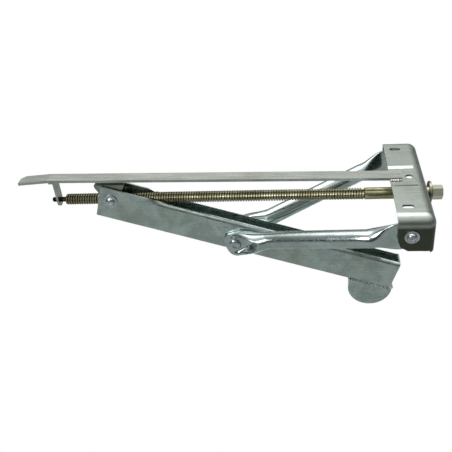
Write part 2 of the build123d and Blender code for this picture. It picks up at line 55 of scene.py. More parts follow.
def addCamera(v):
    ahead = Vector((-sin(v["turn"]) * cos(v["tip"]), cos(v["turn"]) * cos(v["tip"]), -sin(v["tip"])))
    right = Vector((cos(v["turn"]), sin(v["turn"]), 0))
    up = right.cross(ahead)
    leanedRight = right * cos(v["lean"]) - up * sin(v["lean"])
    leanedUp = right * sin(v["lean"]) + up * cos(v["lean"])
    data = bpy.data.cameras.new("camera")
    data.lens = v["lens"]
    data.sensor_width = v["sensor"]
    data.clip_end = v["reach"]
    camera = bpy.data.objects.new("camera", data)
    camera.matrix_world = Matrix((leanedRight, leanedUp, -ahead)).transposed().to_4x4()
    camera.location = v["place"]
    scene.collection.objects.link(camera)
    scene.camera = camera


addCamera(view)
print("stage: camera")


# ---- small tools for node trees
def link(tree, a, b):
    tree.links.new(a, b)


def addNode(tree, kind, **sets):
    node = tree.nodes.new(kind)
    for name, value in sets.items():
        setattr(node, name, value)
    return node


def calculate(tree, operation, a, b):
    node = addNode(tree, "ShaderNodeMath", operation=operation)
    for i, value in enumerate((a, b)):
        if isinstance(value, (int, float)):
            node.inputs[i].default_value = value
        else:
            link(tree, value, node.inputs[i])
    return node.outputs[0]


def mapRange(tree, value, low, high, toLow=0.0, toHigh=1.0, interpolation="SMOOTHSTEP"):
    node = addNode(tree, "ShaderNodeMapRange", interpolation_type=interpolation)
    link(tree, value, node.inputs["Value"])
    for name, number in (("From Min", low), ("From Max", high), ("To Min", toLow), ("To Max", toHigh)):
        node.inputs[name].default_value = number
    return node.outputs["Result"]


def noise(tree, vector, scale, detail=2.0, roughness=0.5):
    node = addNode(tree, "ShaderNodeTexNoise")
    link(tree, vector, node.inputs["Vector"])
    if isinstance(scale, (int, float)):
        node.inputs["Scale"].default_value = scale
    else:
        link(tree, scale, node.inputs["Scale"])
    node.inputs["Detail"].default_value = detail
    node.inputs["Roughness"].default_value = roughness
    return node.outputs["Fac"]


def mixColour(tree, factor, a, b):
    node = addNode(tree, "ShaderNodeMix", data_type="RGBA")
    link(tree, factor, node.inputs["Factor"])
    for name, value in (("A", a), ("B", b)):
        if isinstance(value, tuple):
            node.inputs[name].default_value = (*value, 1)
        else:
            link(tree, value, node.inputs[name])
    return node.outputs["Result"]


def objectPlace(tree):
    return addNode(tree, "ShaderNodeTexCoord").outputs["Object"]


def newGroup(name, inputs, outputs):
    tree = bpy.data.node_groups.new(name, "ShaderNodeTree")
    for label, kind, value in inputs:
        made = tree.interface.new_socket(label, in_out="INPUT", socket_type=kind)
        made.default_value = value
    for label, kind in outputs:
        tree.interface.new_socket(label, in_out="OUTPUT", socket_type=kind)
    return tree, addNode(tree, "NodeGroupInput"), addNode(tree, "NodeGroupOutput")


number = "NodeSocketFloat"
colour = "NodeSocketColor"

# ---- shared effect: a plated film, clouded and stained, with drag marks
film = {
    "cloudDetail": 6,
    "cloudRoughness": 0.62,
    "cloudEdges": (0.36, 0.66),
    "spangleScale": 260,
    "spangleTint": 0.10,
    "dragStretch": (14, 420, 420),  # much finer across the jack than along it
    "dragEdges": (0.35, 0.7),
    "gritScale": 900,
    "blotchScale": 11,
    "blotchEdges": (0.50, 0.72),
    "dragHeight": 0.4,
    "gritHeight": 0.25,
    "cloudHeight": 1.3,
}


def buildPlating(f):
    tree, given, out = newGroup(
        "platingFilm",
        [
            ("Light", colour, (0.7, 0.75, 0.74, 1)),
            ("Dark", colour, (0.5, 0.56, 0.56, 1)),
            ("Stain", colour, (0.42, 0.42, 0.33, 1)),
            ("Cloud Scale", number, 38.0),
            ("Stain Amount", number, 0.35),
            ("Rough", number, 0.3),
            ("Rough Spread", number, 0.16),
        ],
        [("Color", colour), ("Roughness", number), ("Height", number)],
    )
    place = objectPlace(tree)
    cloud = noise(tree, place, given.outputs["Cloud Scale"], f["cloudDetail"], f["cloudRoughness"])
    spangle = addNode(tree, "ShaderNodeTexVoronoi")
    link(tree, place, spangle.inputs["Vector"])
    spangle.inputs["Scale"].default_value = f["spangleScale"]
    stretch = addNode(tree, "ShaderNodeMapping")
    stretch.inputs["Scale"].default_value = f["dragStretch"]
    link(tree, place, stretch.inputs["Vector"])
    drag = noise(tree, stretch.outputs[0], 1.0, 3)
    grit = noise(tree, place, f["gritScale"], 4)
    blotch = noise(tree, place, f["blotchScale"], 5)
    # colour: clouded, with a faint spangle and a stain in places
    cloudMask = mapRange(tree, cloud, *f["cloudEdges"])
    tint = mapRange(tree, spangle.outputs["Color"], 0.0, 1.0, -f["spangleTint"], f["spangleTint"])
    clouded = mixColour(
        tree, calculate(tree, "ADD", cloudMask, tint), given.outputs["Dark"], given.outputs["Light"]
    )
    stainMask = mapRange(tree, blotch, *f["blotchEdges"])
    stainFactor = calculate(tree, "MULTIPLY", stainMask, given.outputs["Stain Amount"])
    link(tree, mixColour(tree, stainFactor, clouded, given.outputs["Stain"]), out.inputs["Color"])
    # roughness: duller where clouded and dragged
    dragMask = mapRange(tree, drag, *f["dragEdges"], -0.5, 0.5)
    both = calculate(tree, "ADD", dragMask, calculate(tree, "SUBTRACT", 0.5, cloudMask))
    spread = calculate(tree, "MULTIPLY", both, given.outputs["Rough Spread"])
    link(tree, calculate(tree, "ADD", spread, given.outputs["Rough"]), out.inputs["Roughness"])
    # height: drag marks, grit and a slow unevenness of the sheet
    high = calculate(tree, "MULTIPLY", drag, f["dragHeight"])
    fine = calculate(tree, "MULTIPLY", grit, f["gritHeight"])
    slow = calculate(tree, "MULTIPLY", cloud, f["cloudHeight"])
    link(tree, calculate(tree, "ADD", calculate(tree, "ADD", high, fine), slow), out.inputs["Height"])
    return tree


# ---- shared effect: bright, broken-up edges, partly rubbed plating and partly a painted highlight along sharp edges
wearAndSheen = {"width": 0.0012, "breakUp": 160.0, "turn": (0.98, 0.80), "breakEdges": (0.35, 0.6), "least": 0.35}


def buildEdgeWearAndSheen(w):
    tree, given, out = newGroup(
        "edgeWearAndSheen", [("Width", number, w["width"]), ("Break Up", number, w["breakUp"])], [("Mask", number)]
    )
    soft = addNode(tree, "ShaderNodeBevel", samples=4)
    link(tree, given.outputs["Width"], soft.inputs["Radius"])
    geometry = addNode(tree, "ShaderNodeNewGeometry")
    dot = addNode(tree, "ShaderNodeVectorMath", operation="DOT_PRODUCT")
    link(tree, soft.outputs["Normal"], dot.inputs[0])
    link(tree, geometry.outputs["Normal"], dot.inputs[1])
    edge = mapRange(tree, dot.outputs["Value"], *w["turn"])
    fleck = noise(tree, objectPlace(tree), given.outputs["Break Up"])
    broken = mapRange(tree, fleck, *w["breakEdges"], w["least"], 1.0)
    link(tree, calculate(tree, "MULTIPLY", edge, broken), out.inputs["Mask"])
    return tree


# ---- shared effect: painted shade, a mask that grows downwards between two heights
def buildPaintedShadeBelow():
    tree, given, out = newGroup(
        "paintedShadeBelow", [("Start", number, 0.0), ("End", number, -0.01)], [("Mask", number)]
    )
    parts = addNode(tree, "ShaderNodeSeparateXYZ")
    link(tree, objectPlace(tree), parts.inputs[0])
    ramp = addNode(tree, "ShaderNodeMapRange", interpolation_type="SMOOTHSTEP")
    link(tree, parts.outputs["Z"], ramp.inputs["Value"])
    link(tree, given.outputs["Start"], ramp.inputs["From Min"])
    link(tree, given.outputs["End"], ramp.inputs["From Max"])
    link(tree, ramp.outputs["Result"], out.inputs["Mask"])
    return tree


# ---- shared effect: a mask for what lies deep in the thread, round the screw's axis
def buildGroove():
    tree, given, out = newGroup(
        "threadGroove",
        [("Axis Z", number, -0.0295), ("Deep", number, 0.007), ("Crest", number, 0.0088)],
        [("Mask", number)],
    )
    parts = addNode(tree, "ShaderNodeSeparateXYZ")
    link(tree, objectPlace(tree), parts.inputs[0])
    above = calculate(tree, "SUBTRACT", parts.outputs["Z"], given.outputs["Axis Z"])
    upSquared = calculate(tree, "MULTIPLY", above, above)
    acrossSquared = calculate(tree, "MULTIPLY", parts.outputs["Y"], parts.outputs["Y"])
    radius = calculate(tree, "SQRT", calculate(tree, "ADD", upSquared, acrossSquared), 0.0)
    ramp = addNode(tree, "ShaderNodeMapRange")
    link(tree, radius, ramp.inputs["Value"])
    link(tree, given.outputs["Crest"], ramp.inputs["From Min"])
    link(tree, given.outputs["Deep"], ramp.inputs["From Max"])
    link(tree, ramp.outputs["Result"], out.inputs["Mask"])
    return tree


platingFilm = buildPlating(film)
edgeWearAndSheen = buildEdgeWearAndSheen(wearAndSheen)
paintedShadeBelow = buildPaintedShadeBelow()
threadGroove = buildGroove()

# ---- finishes: light and dark shade, stain, and how each takes the light
finishes = {
    "zincBracket": dict(
        light=(0.55, 0.60, 0.56), dark=(0.42, 0.47, 0.43), stain=(0.28, 0.29, 0.21), clouds=26,
        stainAmount=0.30, rough=0.34, spread=0.12, bump=0.10, wearAndSheen=0.5,
        # painted shade: the flanges are painted dark below the top plate
        below=(-0.0125, -0.0195), darkened=(0.085, 0.095, 0.070),
    ),
    "zincStrap": dict(
        light=(0.58, 0.61, 0.57), dark=(0.43, 0.46, 0.42), stain=(0.24, 0.24, 0.17), clouds=20,
        stainAmount=0.28, rough=0.33, spread=0.14, bump=0.10, wearAndSheen=0.6,
    ),
    "zincLeg": dict(
        light=(0.57, 0.66, 0.64), dark=(0.42, 0.50, 0.48), stain=(0.38, 0.42, 0.34), clouds=44,
        stainAmount=0.45, rough=0.30, spread=0.20, bump=0.16, wearAndSheen=0.7,
    ),
    "zincTube": dict(
        light=(0.60, 0.68, 0.68), dark=(0.44, 0.52, 0.52), stain=(0.34, 0.40, 0.36), clouds=30,
        stainAmount=0.25, rough=0.20, spread=0.10, bump=0.06, wearAndSheen=0.4,
    ),
    # the shank's finish: a brighter copy of the thread's zinc, a painted highlight along the shank
    "yellowZincHighlit": dict(
        light=(0.66, 0.64, 0.38), dark=(0.46, 0.44, 0.24), stain=(0.18, 0.17, 0.09), clouds=60,
        stainAmount=0.45, rough=0.26, spread=0.12, bump=0.06, wearAndSheen=0.5,
    ),
    "threadZinc": dict(
        light=(0.60, 0.57, 0.38), dark=(0.38, 0.35, 0.21), stain=(0.13, 0.11, 0.06), clouds=48,
        stainAmount=0.55, rough=0.30, spread=0.12, bump=0.04, wearAndSheen=0.0,
        groove=(0.0074, 0.0090), darkened=(0.020, 0.018, 0.010),
    ),
    "saddleZinc": dict(
        light=(0.40, 0.41, 0.36), dark=(0.24, 0.25, 0.21), stain=(0.12, 0.11, 0.08), clouds=70,
        stainAmount=0.50, rough=0.36, spread=0.14, bump=0.10, wearAndSheen=0.5,
    ),
    "darkZinc": dict(
        light=(0.46, 0.45, 0.38), dark=(0.28, 0.27, 0.21), stain=(0.12, 0.11, 0.07), clouds=90,
        stainAmount=0.40, rough=0.32, spread=0.12, bump=0.08, wearAndSheen=0.6,
    ),
    "paleHex": dict(
        light=(0.84, 0.84, 0.70), dark=(0.70, 0.68, 0.50), stain=(0.30, 0.26, 0.12), clouds=90,
        stainAmount=0.35, rough=0.25, spread=0.12, bump=0.08, wearAndSheen=0.8,
    ),
    "fastenerZinc": dict(
        light=(0.66, 0.71, 0.74), dark=(0.46, 0.51, 0.54), stain=(0.20, 0.20, 0.18), clouds=120,
        stainAmount=0.30, rough=0.24, spread=0.12, bump=0.08, wearAndSheen=0.7,
    ),
    "weldMetal": dict(
        light=(0.74, 0.76, 0.73), dark=(0.42, 0.43, 0.40), stain=(0.24, 0.20, 0.14), clouds=320,
        stainAmount=0.40, rough=0.42, spread=0.16, bump=0.5, wearAndSheen=0.3,
    ),
}
# edge colour: rubbed plating and a painted highlight on sharp edges
wearAndSheenColour = (0.92, 0.94, 0.93)
bumpDistance = 0.0012


def makeFinish(name, f):
    material = bpy.data.materials.new(name)
    material.use_nodes = True
    tree = material.node_tree
    shader = tree.nodes["Principled BSDF"]
    plated = addNode(tree, "ShaderNodeGroup", node_tree=platingFilm)
    for label, key in (("Light", "light"), ("Dark", "dark"), ("Stain", "stain")):
        plated.inputs[label].default_value = (*f[key], 1)
    plated.inputs["Cloud Scale"].default_value = f["clouds"]
    plated.inputs["Stain Amount"].default_value = f["stainAmount"]
    plated.inputs["Rough"].default_value = f["rough"]
    plated.inputs["Rough Spread"].default_value = f["spread"]
    # edges lightened: partly rubbed plating, partly a painted highlight
    wearAndSheenNode = addNode(tree, "ShaderNodeGroup", node_tree=edgeWearAndSheen)
    wearAndSheenMask = calculate(tree, "MULTIPLY", wearAndSheenNode.outputs["Mask"], f["wearAndSheen"])
    base = mixColour(tree, wearAndSheenMask, plated.outputs["Color"], wearAndSheenColour)
    # painted shade: the colour is darkened below a given height
    if "below" in f:
        shade = addNode(tree, "ShaderNodeGroup", node_tree=paintedShadeBelow)
        shade.inputs["Start"].default_value, shade.inputs["End"].default_value = f["below"]
        base = mixColour(tree, shade.outputs["Mask"], base, f["darkened"])
    if "groove" in f:
        shade = addNode(tree, "ShaderNodeGroup", node_tree=threadGroove)
        shade.inputs["Deep"].default_value, shade.inputs["Crest"].default_value = f["groove"]
        base = mixColour(tree, shade.outputs["Mask"], base, f["darkened"])
    link(tree, base, shader.inputs["Base Color"])
    link(tree, plated.outputs["Roughness"], shader.inputs["Roughness"])
    shader.inputs["Metallic"].default_value = 1.0
    bump = addNode(tree, "ShaderNodeBump")
    bump.inputs["Strength"].default_value = f["bump"]
    bump.inputs["Distance"].default_value = bumpDistance
    link(tree, plated.outputs["Height"], bump.inputs["Height"])
    link(tree, bump.outputs["Normal"], shader.inputs["Normal"])
    return material


finish = {name: makeFinish(name, f) for name, f in finishes.items()}
print("stage: finishes")

cadFinish = {
    "zincBracket": ["mounting_bracket"],
    "zincStrap": ["top_strap", "end_tab"],
    "saddleZinc": ["nut_saddle"],
    "zincLeg": ["leg_channel", "leg_end_plate", "foot_cheeks", "foot_sole"],
    "zincTube": ["stay_near", "stay_far"],
    "yellowZincHighlit": ["lead_screw"],
    "darkZinc": ["thrust_washer", "thrust_collar", "drive_nut"],
    "paleHex": ["hex_drive_head"],
    "weldMetal": ["strap_welds", "tab_weld", "foot_welds"],
    "fastenerZinc": [
        "pivot_bolts", "pivot_washers", "pivot_spacers", "pivot_nuts", "collar_pin", "trunnion_rivets",
        "trunnion_washers", "mid_pivot_pin", "mid_pivot_sleeve", "mid_rivet_near", "mid_rivet_far",
    ],
}
for finishName, members in cadFinish.items():
    for node in members:
        nodes[node].data.materials.clear()
        nodes[node].data.materials.append(finish[finishName])

# ---- mesh tools
sharpFrom = radians(38)  # edges that turn more than this stay crisp
mergeDistance = 1e-6
poleR = 2e-5  # a pole is a tiny ring


def smoothMesh(data):
    data.shade_smooth()
    data.set_sharp_from_angle(angle=sharpFrom)


def meshPiece(name, bm, finishName, body, replaced):
    bmesh.ops.remove_doubles(bm, verts=bm.verts, dist=mergeDistance)
    bmesh.ops.recalc_face_normals(bm, faces=bm.faces)
    data = bpy.data.meshes.new(name)
    bm.to_mesh(data)
    bm.free()
    piece = bpy.data.objects.new(name, data)
    scene.collection.objects.link(piece)
    data.materials.append(finish[finishName])
    smoothMesh(data)
    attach(piece, body)
    if replaced:
        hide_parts(*replaced)
    return piece


# joins closed loops of points, one after another, with quads and closes both ends
def skinLoops(bm, loops):
    rings = [[bm.verts.new(p) for p in loop] for loop in loops]
    count = len(rings[0])
    for a, b in zip(rings, rings[1:]):
        for i in range(count):
            j = (i + 1) % count
            bm.faces.new((a[i], a[j], b[j], b[i]))
    bm.faces.new(list(reversed(rings[0])))
    bm.faces.new(rings[-1])


# turns (along, radius) points about an axis through origin
def lathe(bm, profile, origin, axis, segments):
    axis = Vector(axis).normalized()
    side = axis.orthogonal().normalized()
    other = axis.cross(side)
    loops = []
    for along, radius in profile:
        centre = Vector(origin) + axis * along
        r = max(radius, poleR)
        turns = [2 * pi * i / segments for i in range(segments)]
        loops.append([centre + side * (r * cos(t)) + other * (r * sin(t)) for t in turns])
    skinLoops(bm, loops)


def smoothStep(low, high, x):
    t = min(1.0, max(0.0, (x - low) / (high - low)))
    return t * t * (3 - 2 * t)


def between(a, b, t):
    return a + (b - a) * t


# ---- lead screw: a turned core with a helical ridge, and a plain shank
screw = {
    "axisZ": -0.0295,
    "threadStart": -0.5215,
    "threadEnd": -0.053,
    "outerR": 0.009,
    "coreR": 0.0066,
    "ridgeSink": 0.0003,  # how far the ridge's foot sits inside the core
    "pitch": 0.004,
    "crest": 0.0012,
    "root": 0.0026,
    "stepsPerTurn": 26,
    "journalR": 0.004,
    "journalEnd": -0.544,
    "journalNose": ((0, 0.0012), (0.0008, 0.0004), (0.002, 0)),  # distance from its end, and how much slimmer
    "runOut": 0.001,
    "shankEnd": 0.0465,
    "shankBevel": (0.0006, 0.0005),  # along the shank and across it
    "around": 48,
}


def threadTree(material):
    tree = bpy.data.node_groups.new("threadRidge", "GeometryNodeTree")
    ids = {}
    for label, kind, value in (
        ("Pitch", number, 0.004),
        ("Turns", number, 100.0),
        ("Ridge Radius", number, 0.008),
        ("Ridge Half Height", number, 0.001),
        ("Crest Width", number, 0.0013),
        ("Root Width", number, 0.0026),
        ("Steps Per Turn", "NodeSocketInt", 26),
    ):
        made = tree.interface.new_socket(label, in_out="INPUT", socket_type=kind)
        made.default_value = value
        ids[label] = made.identifier
    tree.interface.new_socket("Geometry", in_out="OUTPUT", socket_type="NodeSocketGeometry")
    given = addNode(tree, "NodeGroupInput")
    out = addNode(tree, "NodeGroupOutput")
    helix = addNode(tree, "GeometryNodeCurveSpiral")
    link(tree, given.outputs["Steps Per Turn"], helix.inputs["Resolution"])
    link(tree, given.outputs["Turns"], helix.inputs["Rotations"])
    link(tree, given.outputs["Ridge Radius"], helix.inputs["Start Radius"])
    link(tree, given.outputs["Ridge Radius"], helix.inputs["End Radius"])
    rise = calculate(tree, "MULTIPLY", given.outputs["Turns"], given.outputs["Pitch"])
    link(tree, rise, helix.inputs["Height"])
    upright = addNode(tree, "GeometryNodeSetCurveNormal", mode="Z_UP")
    link(tree, helix.outputs["Curve"], upright.inputs["Curve"])
    ridge = addNode(tree, "GeometryNodeCurvePrimitiveQuadrilateral", mode="TRAPEZOID")
    height = calculate(tree, "MULTIPLY", given.outputs["Ridge Half Height"], 2.0)
    link(tree, height, ridge.inputs["Height"])
    link(tree, given.outputs["Root Width"], ridge.inputs["Bottom Width"])
    link(tree, given.outputs["Crest Width"], ridge.inputs["Top Width"])
    ridge.inputs["Offset"].default_value = 0.0
    sweep = addNode(tree, "GeometryNodeCurveToMesh")
    link(tree, upright.outputs["Curve"], sweep.inputs["Curve"])
    link(tree, ridge.outputs["Curve"], sweep.inputs["Profile Curve"])
    sweep.inputs["Fill Caps"].default_value = True
    real = addNode(tree, "GeometryNodeRealizeInstances")
    link(tree, sweep.outputs["Mesh"], real.inputs[0])
    paint = addNode(tree, "GeometryNodeSetMaterial")
    paint.inputs["Material"].default_value = material
    link(tree, real.outputs[0], paint.inputs["Geometry"])
    link(tree, paint.outputs["Geometry"], out.inputs["Geometry"])
    return tree, ids


def threadMesh(s):
    tree, ids = threadTree(finish["threadZinc"])
    holder = bpy.data.objects.new("threadHolder", bpy.data.meshes.new("threadHolder"))
    scene.collection.objects.link(holder)
    modifier = holder.modifiers.new("thread", "NODES")
    modifier.node_group = tree
    half = (s["outerR"] - s["coreR"] + s["ridgeSink"]) / 2
    modifier[ids["Pitch"]] = s["pitch"]
    modifier[ids["Turns"]] = (s["threadEnd"] - s["threadStart"] - s["root"]) / s["pitch"]
    modifier[ids["Ridge Radius"]] = s["outerR"] - half
    modifier[ids["Ridge Half Height"]] = half
    modifier[ids["Crest Width"]] = s["crest"]
    modifier[ids["Root Width"]] = s["root"]
    modifier[ids["Steps Per Turn"]] = s["stepsPerTurn"]
    seen = holder.evaluated_get(bpy.context.evaluated_depsgraph_get())
    made = bpy.data.meshes.new_from_object(seen)
    bpy.data.objects.remove(holder)
    return made


def addThreadedLength(s):
    bm = bmesh.new()
    journal, core = s["journalR"], s["coreR"]
    profile = [
        (s["journalEnd"], 0),
        *((s["journalEnd"] + along, journal - slimmer) for along, slimmer in s["journalNose"]),
        (s["threadStart"], journal),
        (s["threadStart"], core - s["runOut"]),
        (s["threadStart"] + s["runOut"], core),
        (s["threadEnd"] + s["runOut"], core),
        (s["threadEnd"] + s["runOut"], 0),
    ]
    lathe(bm, profile, (0, 0, s["axisZ"]), (1, 0, 0), s["around"])
    thread = threadMesh(s)
    # the helix is made upright, so it is laid along the screw
    start = Matrix.Translation((s["threadStart"] + s["root"] / 2, 0, s["axisZ"]))
    thread.transform(start @ Matrix.Rotation(pi / 2, 4, "Y"))
    bm.from_mesh(thread)
    bpy.data.meshes.remove(thread)
    meshPiece("lead_screw_thread", bm, "threadZinc", "screw", ["lead_screw"])


def addShank(s):
    bm = bmesh.new()
    profile = [
        (s["threadEnd"] - s["runOut"], 0),
        (s["threadEnd"] - s["runOut"], s["coreR"]),
        (s["threadEnd"] + s["runOut"], s["outerR"]),
        (s["shankEnd"] - s["shankBevel"][0], s["outerR"]),
        (s["shankEnd"], s["outerR"] - s["shankBevel"][1]),
        (s["shankEnd"], 0),
    ]
    lathe(bm, profile, (0, 0, s["axisZ"]), (1, 0, 0), s["around"])
    # the shank takes the brighter copy of the screw's zinc: a painted highlight
    meshPiece("lead_screw_shank", bm, "yellowZincHighlit", "screw", [])


addThreadedLength(screw)
addShank(screw)
print("stage: lead screw")

# ---- leg channel, bent from sheet: plain walls at the nut, lips curled in further down.
# u runs down the leg from the nut's pivot, v across it towards the open side
leg = {
    "angle": radians(18),
    "pivot": (-0.4437, -0.0255),
    "start": -0.0188,
    "plainStations": (-0.004, 0.012, 0.03),
    "end": 0.466,
    "halfWidth": 0.016,
    "wall": 0.0025,
    "bottom": -0.0345,
    "plainTop": 0.0215,
    "crest": 0.0183,
    "bendR": 0.006,
    "bendSteps": 8,
    "leastTurn": 0.02,  # below this the lip is straight
    "lipStart": 0.050,
    "lipFull": 0.088,
    "notchHalf": 0.0105,
    "notchEnd": 0.007,
    "notchMouth": -0.05,
    "notchClear": 0.004,
    "notchSteps": 24,
    "wallSteps": 3,
    "lipSteps": 8,
    "runSteps": 14,
}


def legPoint(u, v, y):
    a = leg["angle"]
    x = leg["pivot"][0] + u * cos(a) + v * sin(a)
    z = leg["pivot"][1] - u * sin(a) + v * cos(a)
    return Vector((x, y, z))


# half of the section as (y, v) points, outer skin and inner skin, the lip curled by 0 to 1
def legSection(s, lipped):
    w, t, b, r = s["halfWidth"], s["wall"], s["bottom"], s["bendR"]
    steps = s["bendSteps"]
    outer = [(0.0, b), ((w - r) * 0.5, b)]
    inner = [(0.0, b + t), ((w - r) * 0.5, b + t)]
    for i in range(steps + 1):
        a = pi / 2 * i / steps
        outer.append((w - r + r * sin(a), b + r - r * cos(a)))
        inner.append((w - r + (r - t) * sin(a), b + r - (r - t) * cos(a)))
    # the wall's straight run, then an arc whose turn grows to a quarter circle
    straightTop = s["crest"] - r
    turn = pi / 2 * lipped
    free = s["plainTop"] - straightTop
    for i in range(1, s["wallSteps"] + 1):
        v = between(b + r, straightTop, i / s["wallSteps"])
        outer.append((w, v))
        inner.append((w - t, v))
    for i in range(1, steps + 1):
        share = i / steps
        if turn < s["leastTurn"]:
            outer.append((w, straightTop + free * share))
            inner.append((w - t, straightTop + free * share))
            continue
        bend = free / turn
        a = turn * share
        outer.append((w - bend + bend * cos(a), straightTop + bend * sin(a)))
        inner.append((w - bend + (bend - t) * cos(a), straightTop + (bend - t) * sin(a)))
    return outer, inner


def notchCutter(s):
    bm = bmesh.new()
    arc = []
    for i in range(s["notchSteps"] + 1):
        t = -pi / 2 + pi * i / s["notchSteps"]
        arc.append((s["notchEnd"] + s["notchHalf"] * cos(t), s["notchHalf"] * sin(t)))
    outline = [(s["notchMouth"], -s["notchHalf"])] + arc + [(s["notchMouth"], s["notchHalf"])]
    low = [legPoint(u, s["bottom"] - s["notchClear"], y) for u, y in outline]
    high = [legPoint(u, s["bottom"] + s["wall"] + s["notchClear"], y) for u, y in outline]
    skinLoops(bm, [low, high])
    bmesh.ops.recalc_face_normals(bm, faces=bm.faces)
    data = bpy.data.meshes.new("notchCutter")
    bm.to_mesh(data)
    bm.free()
    cutter = bpy.data.objects.new("notchCutter", data)
    scene.collection.objects.link(cutter)
    return cutter


def addLeg(s):
    bm = bmesh.new()
    stations = [s["start"], *s["plainStations"], s["lipStart"]]
    lipSteps, runSteps = s["lipSteps"], s["runSteps"]
    stations += [between(s["lipStart"], s["lipFull"], i / lipSteps) for i in range(1, lipSteps + 1)]
    stations += [between(s["lipFull"], s["end"], i / runSteps) for i in range(1, runSteps + 1)]
    loops = []
    for u in stations:
        outer, inner = legSection(s, smoothStep(s["lipStart"], s["lipFull"], u))
        inner.reverse()
        loop = [(-y, v) for y, v in reversed(outer[1:])] + outer + inner
        loop += [(-y, v) for y, v in reversed(inner[:-1])]
        loops.append([legPoint(u, v, y) for y, v in loop])
    skinLoops(bm, loops)
    piece = meshPiece("leg_channel_sheet", bm, "zincLeg", "leg", ["leg_channel"])
    cutter = notchCutter(s)
    notch = piece.modifiers.new("notch", "BOOLEAN")
    notch.object = cutter
    notch.solver = "EXACT"
    made = bpy.data.meshes.new_from_object(piece.evaluated_get(bpy.context.evaluated_depsgraph_get()))
    piece.modifiers.clear()
    piece.data = made
    bpy.data.objects.remove(cutter)
    smoothMesh(made)


addLeg(leg)
print("stage: leg")

# ---- stays: round tube, pressed flat round each pivot, with a dished leg end
stay = {
    "legPivot": (-0.25277, -0.10709),
    "bracketPivot": (0.0033, -0.0305),
    "tubeR": 0.014,
    "standOff": 0.0015,
    "flatHalf": 0.0215,
    "flat": 0.0046,
    "legInner": 0.0163,
    "bracketOuter": 0.1083,
    "tip": 0.0157,
    "tipPower": 2.7,
    "tipLeast": 0.0035,
    "legFlatEnd": 0.011,
    "legBlendEnd": 0.055,
    "bracketFlat": 0.015,
    "bracketBlend": 0.057,
    "edgePower": 0.28,  # how square a flattened end's edges are
    "rim": 0.0034,
    "rimRun": (-0.014, 0.0),
    "bulgeRun": (-0.004, 0.036),
    "bulgeWidth": 0.96,
    "raisedPower": 0.7,
    "dishStart": 0.004,
    "dishLength": 0.052,
    "dishWidth": 0.86,
    "dishEdge": 0.62,
    "around": 64,
    "tipSteps": 10,
    "legSteps": 32,
    "tubeSteps": 8,
    "bracketSteps": 30,
}


# half height of a flattened end, narrowing round its tip
def tipHalf(s, beyond):
    share = min(1.0, max(0.0, beyond / s["tip"]))
    return max(s["tipLeast"], s["flatHalf"] * (1 - share ** s["tipPower"]) ** (1 / s["tipPower"]))


# the outward face of the leg end: a raised rim round a spoon-shaped hollow that fades into the tube
def dishedY(s, along, t, shoulder, centre, roundY, toRound):
    pressed = s["legInner"] + s["flat"]
    middle = s["legInner"] + s["flat"] / 2
    rimY = pressed + s["rim"] * smoothStep(*s["rimRun"], along)
    domeY = centre + s["tubeR"] * sqrt(max(0.0, 1 - (t * s["bulgeWidth"]) ** 2))
    bulge = between(rimY, domeY, smoothStep(*s["bulgeRun"], along))
    reach = max(0.0, along + s["dishStart"]) / s["dishLength"]
    hollow = 1 - smoothStep(s["dishEdge"], 1.0, sqrt(reach ** 2 + (t / s["dishWidth"]) ** 2))
    raised = between(middle, bulge, shoulder ** s["raisedPower"])
    y = between(raised, between(middle, pressed, shoulder), hollow * (1 - toRound ** 3))
    return between(y, roundY, toRound ** 2)


def stayLoop(s, along, length, tilt, side):
    r = s["tubeR"]
    toRound = smoothStep(s["legFlatEnd"], s["legBlendEnd"], along)
    toFlat = smoothStep(length - s["bracketBlend"], length - s["bracketFlat"], along)
    isRound = toRound * (1 - toFlat)
    half = between(s["flatHalf"], r, isRound)
    if along < 0:
        half = tipHalf(s, -along)
    if along > length:
        half = tipHalf(s, along - length)
    run = (along - s["legBlendEnd"]) / (length - s["bracketBlend"] - s["legBlendEnd"])
    legRound = s["legInner"] + r + s["standOff"]
    centre = between(legRound, s["bracketOuter"] - r, min(1.0, max(0.0, run)))
    inFace = s["bracketOuter"] - s["flat"] if toFlat > 0 else s["legInner"]
    points = []
    for i in range(s["around"]):
        a = 2 * pi * i / s["around"]
        t = cos(a)
        outward = sin(a) > 0
        shoulder = abs(sin(a)) ** between(s["edgePower"], 1.0, isRound)
        flatY = between(inFace + s["flat"] / 2, inFace + (s["flat"] if outward else 0), shoulder)
        roundY = centre + (r if outward else -r) * shoulder
        y = between(flatY, roundY, isRound)
        if outward and toFlat == 0:
            y = dishedY(s, along, t, shoulder, centre, roundY, toRound)
        x = s["legPivot"][0] + along * cos(tilt) - half * t * sin(tilt)
        z = s["legPivot"][1] + along * sin(tilt) + half * t * cos(tilt)
        points.append(Vector((x, side * y, z)))
    return points


def addStay(s, side, name, node):
    dx = s["bracketPivot"][0] - s["legPivot"][0]
    dz = s["bracketPivot"][1] - s["legPivot"][1]
    length = sqrt(dx * dx + dz * dz)
    tipSteps, legSteps = s["tipSteps"], s["legSteps"]
    stations = [-s["tip"] * sin(pi / 2 * (1 - i / tipSteps)) for i in range(tipSteps)]
    stations += [s["legBlendEnd"] * i / legSteps for i in range(legSteps + 1)]
    tubeEnd = length - s["bracketBlend"]
    stations += [between(s["legBlendEnd"], tubeEnd, i / s["tubeSteps"]) for i in range(1, s["tubeSteps"])]
    stations += [between(tubeEnd, length, i / s["bracketSteps"]) for i in range(s["bracketSteps"] + 1)]
    stations += [length + s["tip"] * sin(pi / 2 * i / tipSteps) for i in range(1, tipSteps + 1)]
    bm = bmesh.new()
    skinLoops(bm, [stayLoop(s, along, length, atan2(dz, dx), side) for along in stations])
    meshPiece(name, bm, "zincTube", node, [node])


addStay(stay, -1, "stay_near_tube", "stay_near")
addStay(stay, 1, "stay_far_tube", "stay_far")
print("stage: stays")

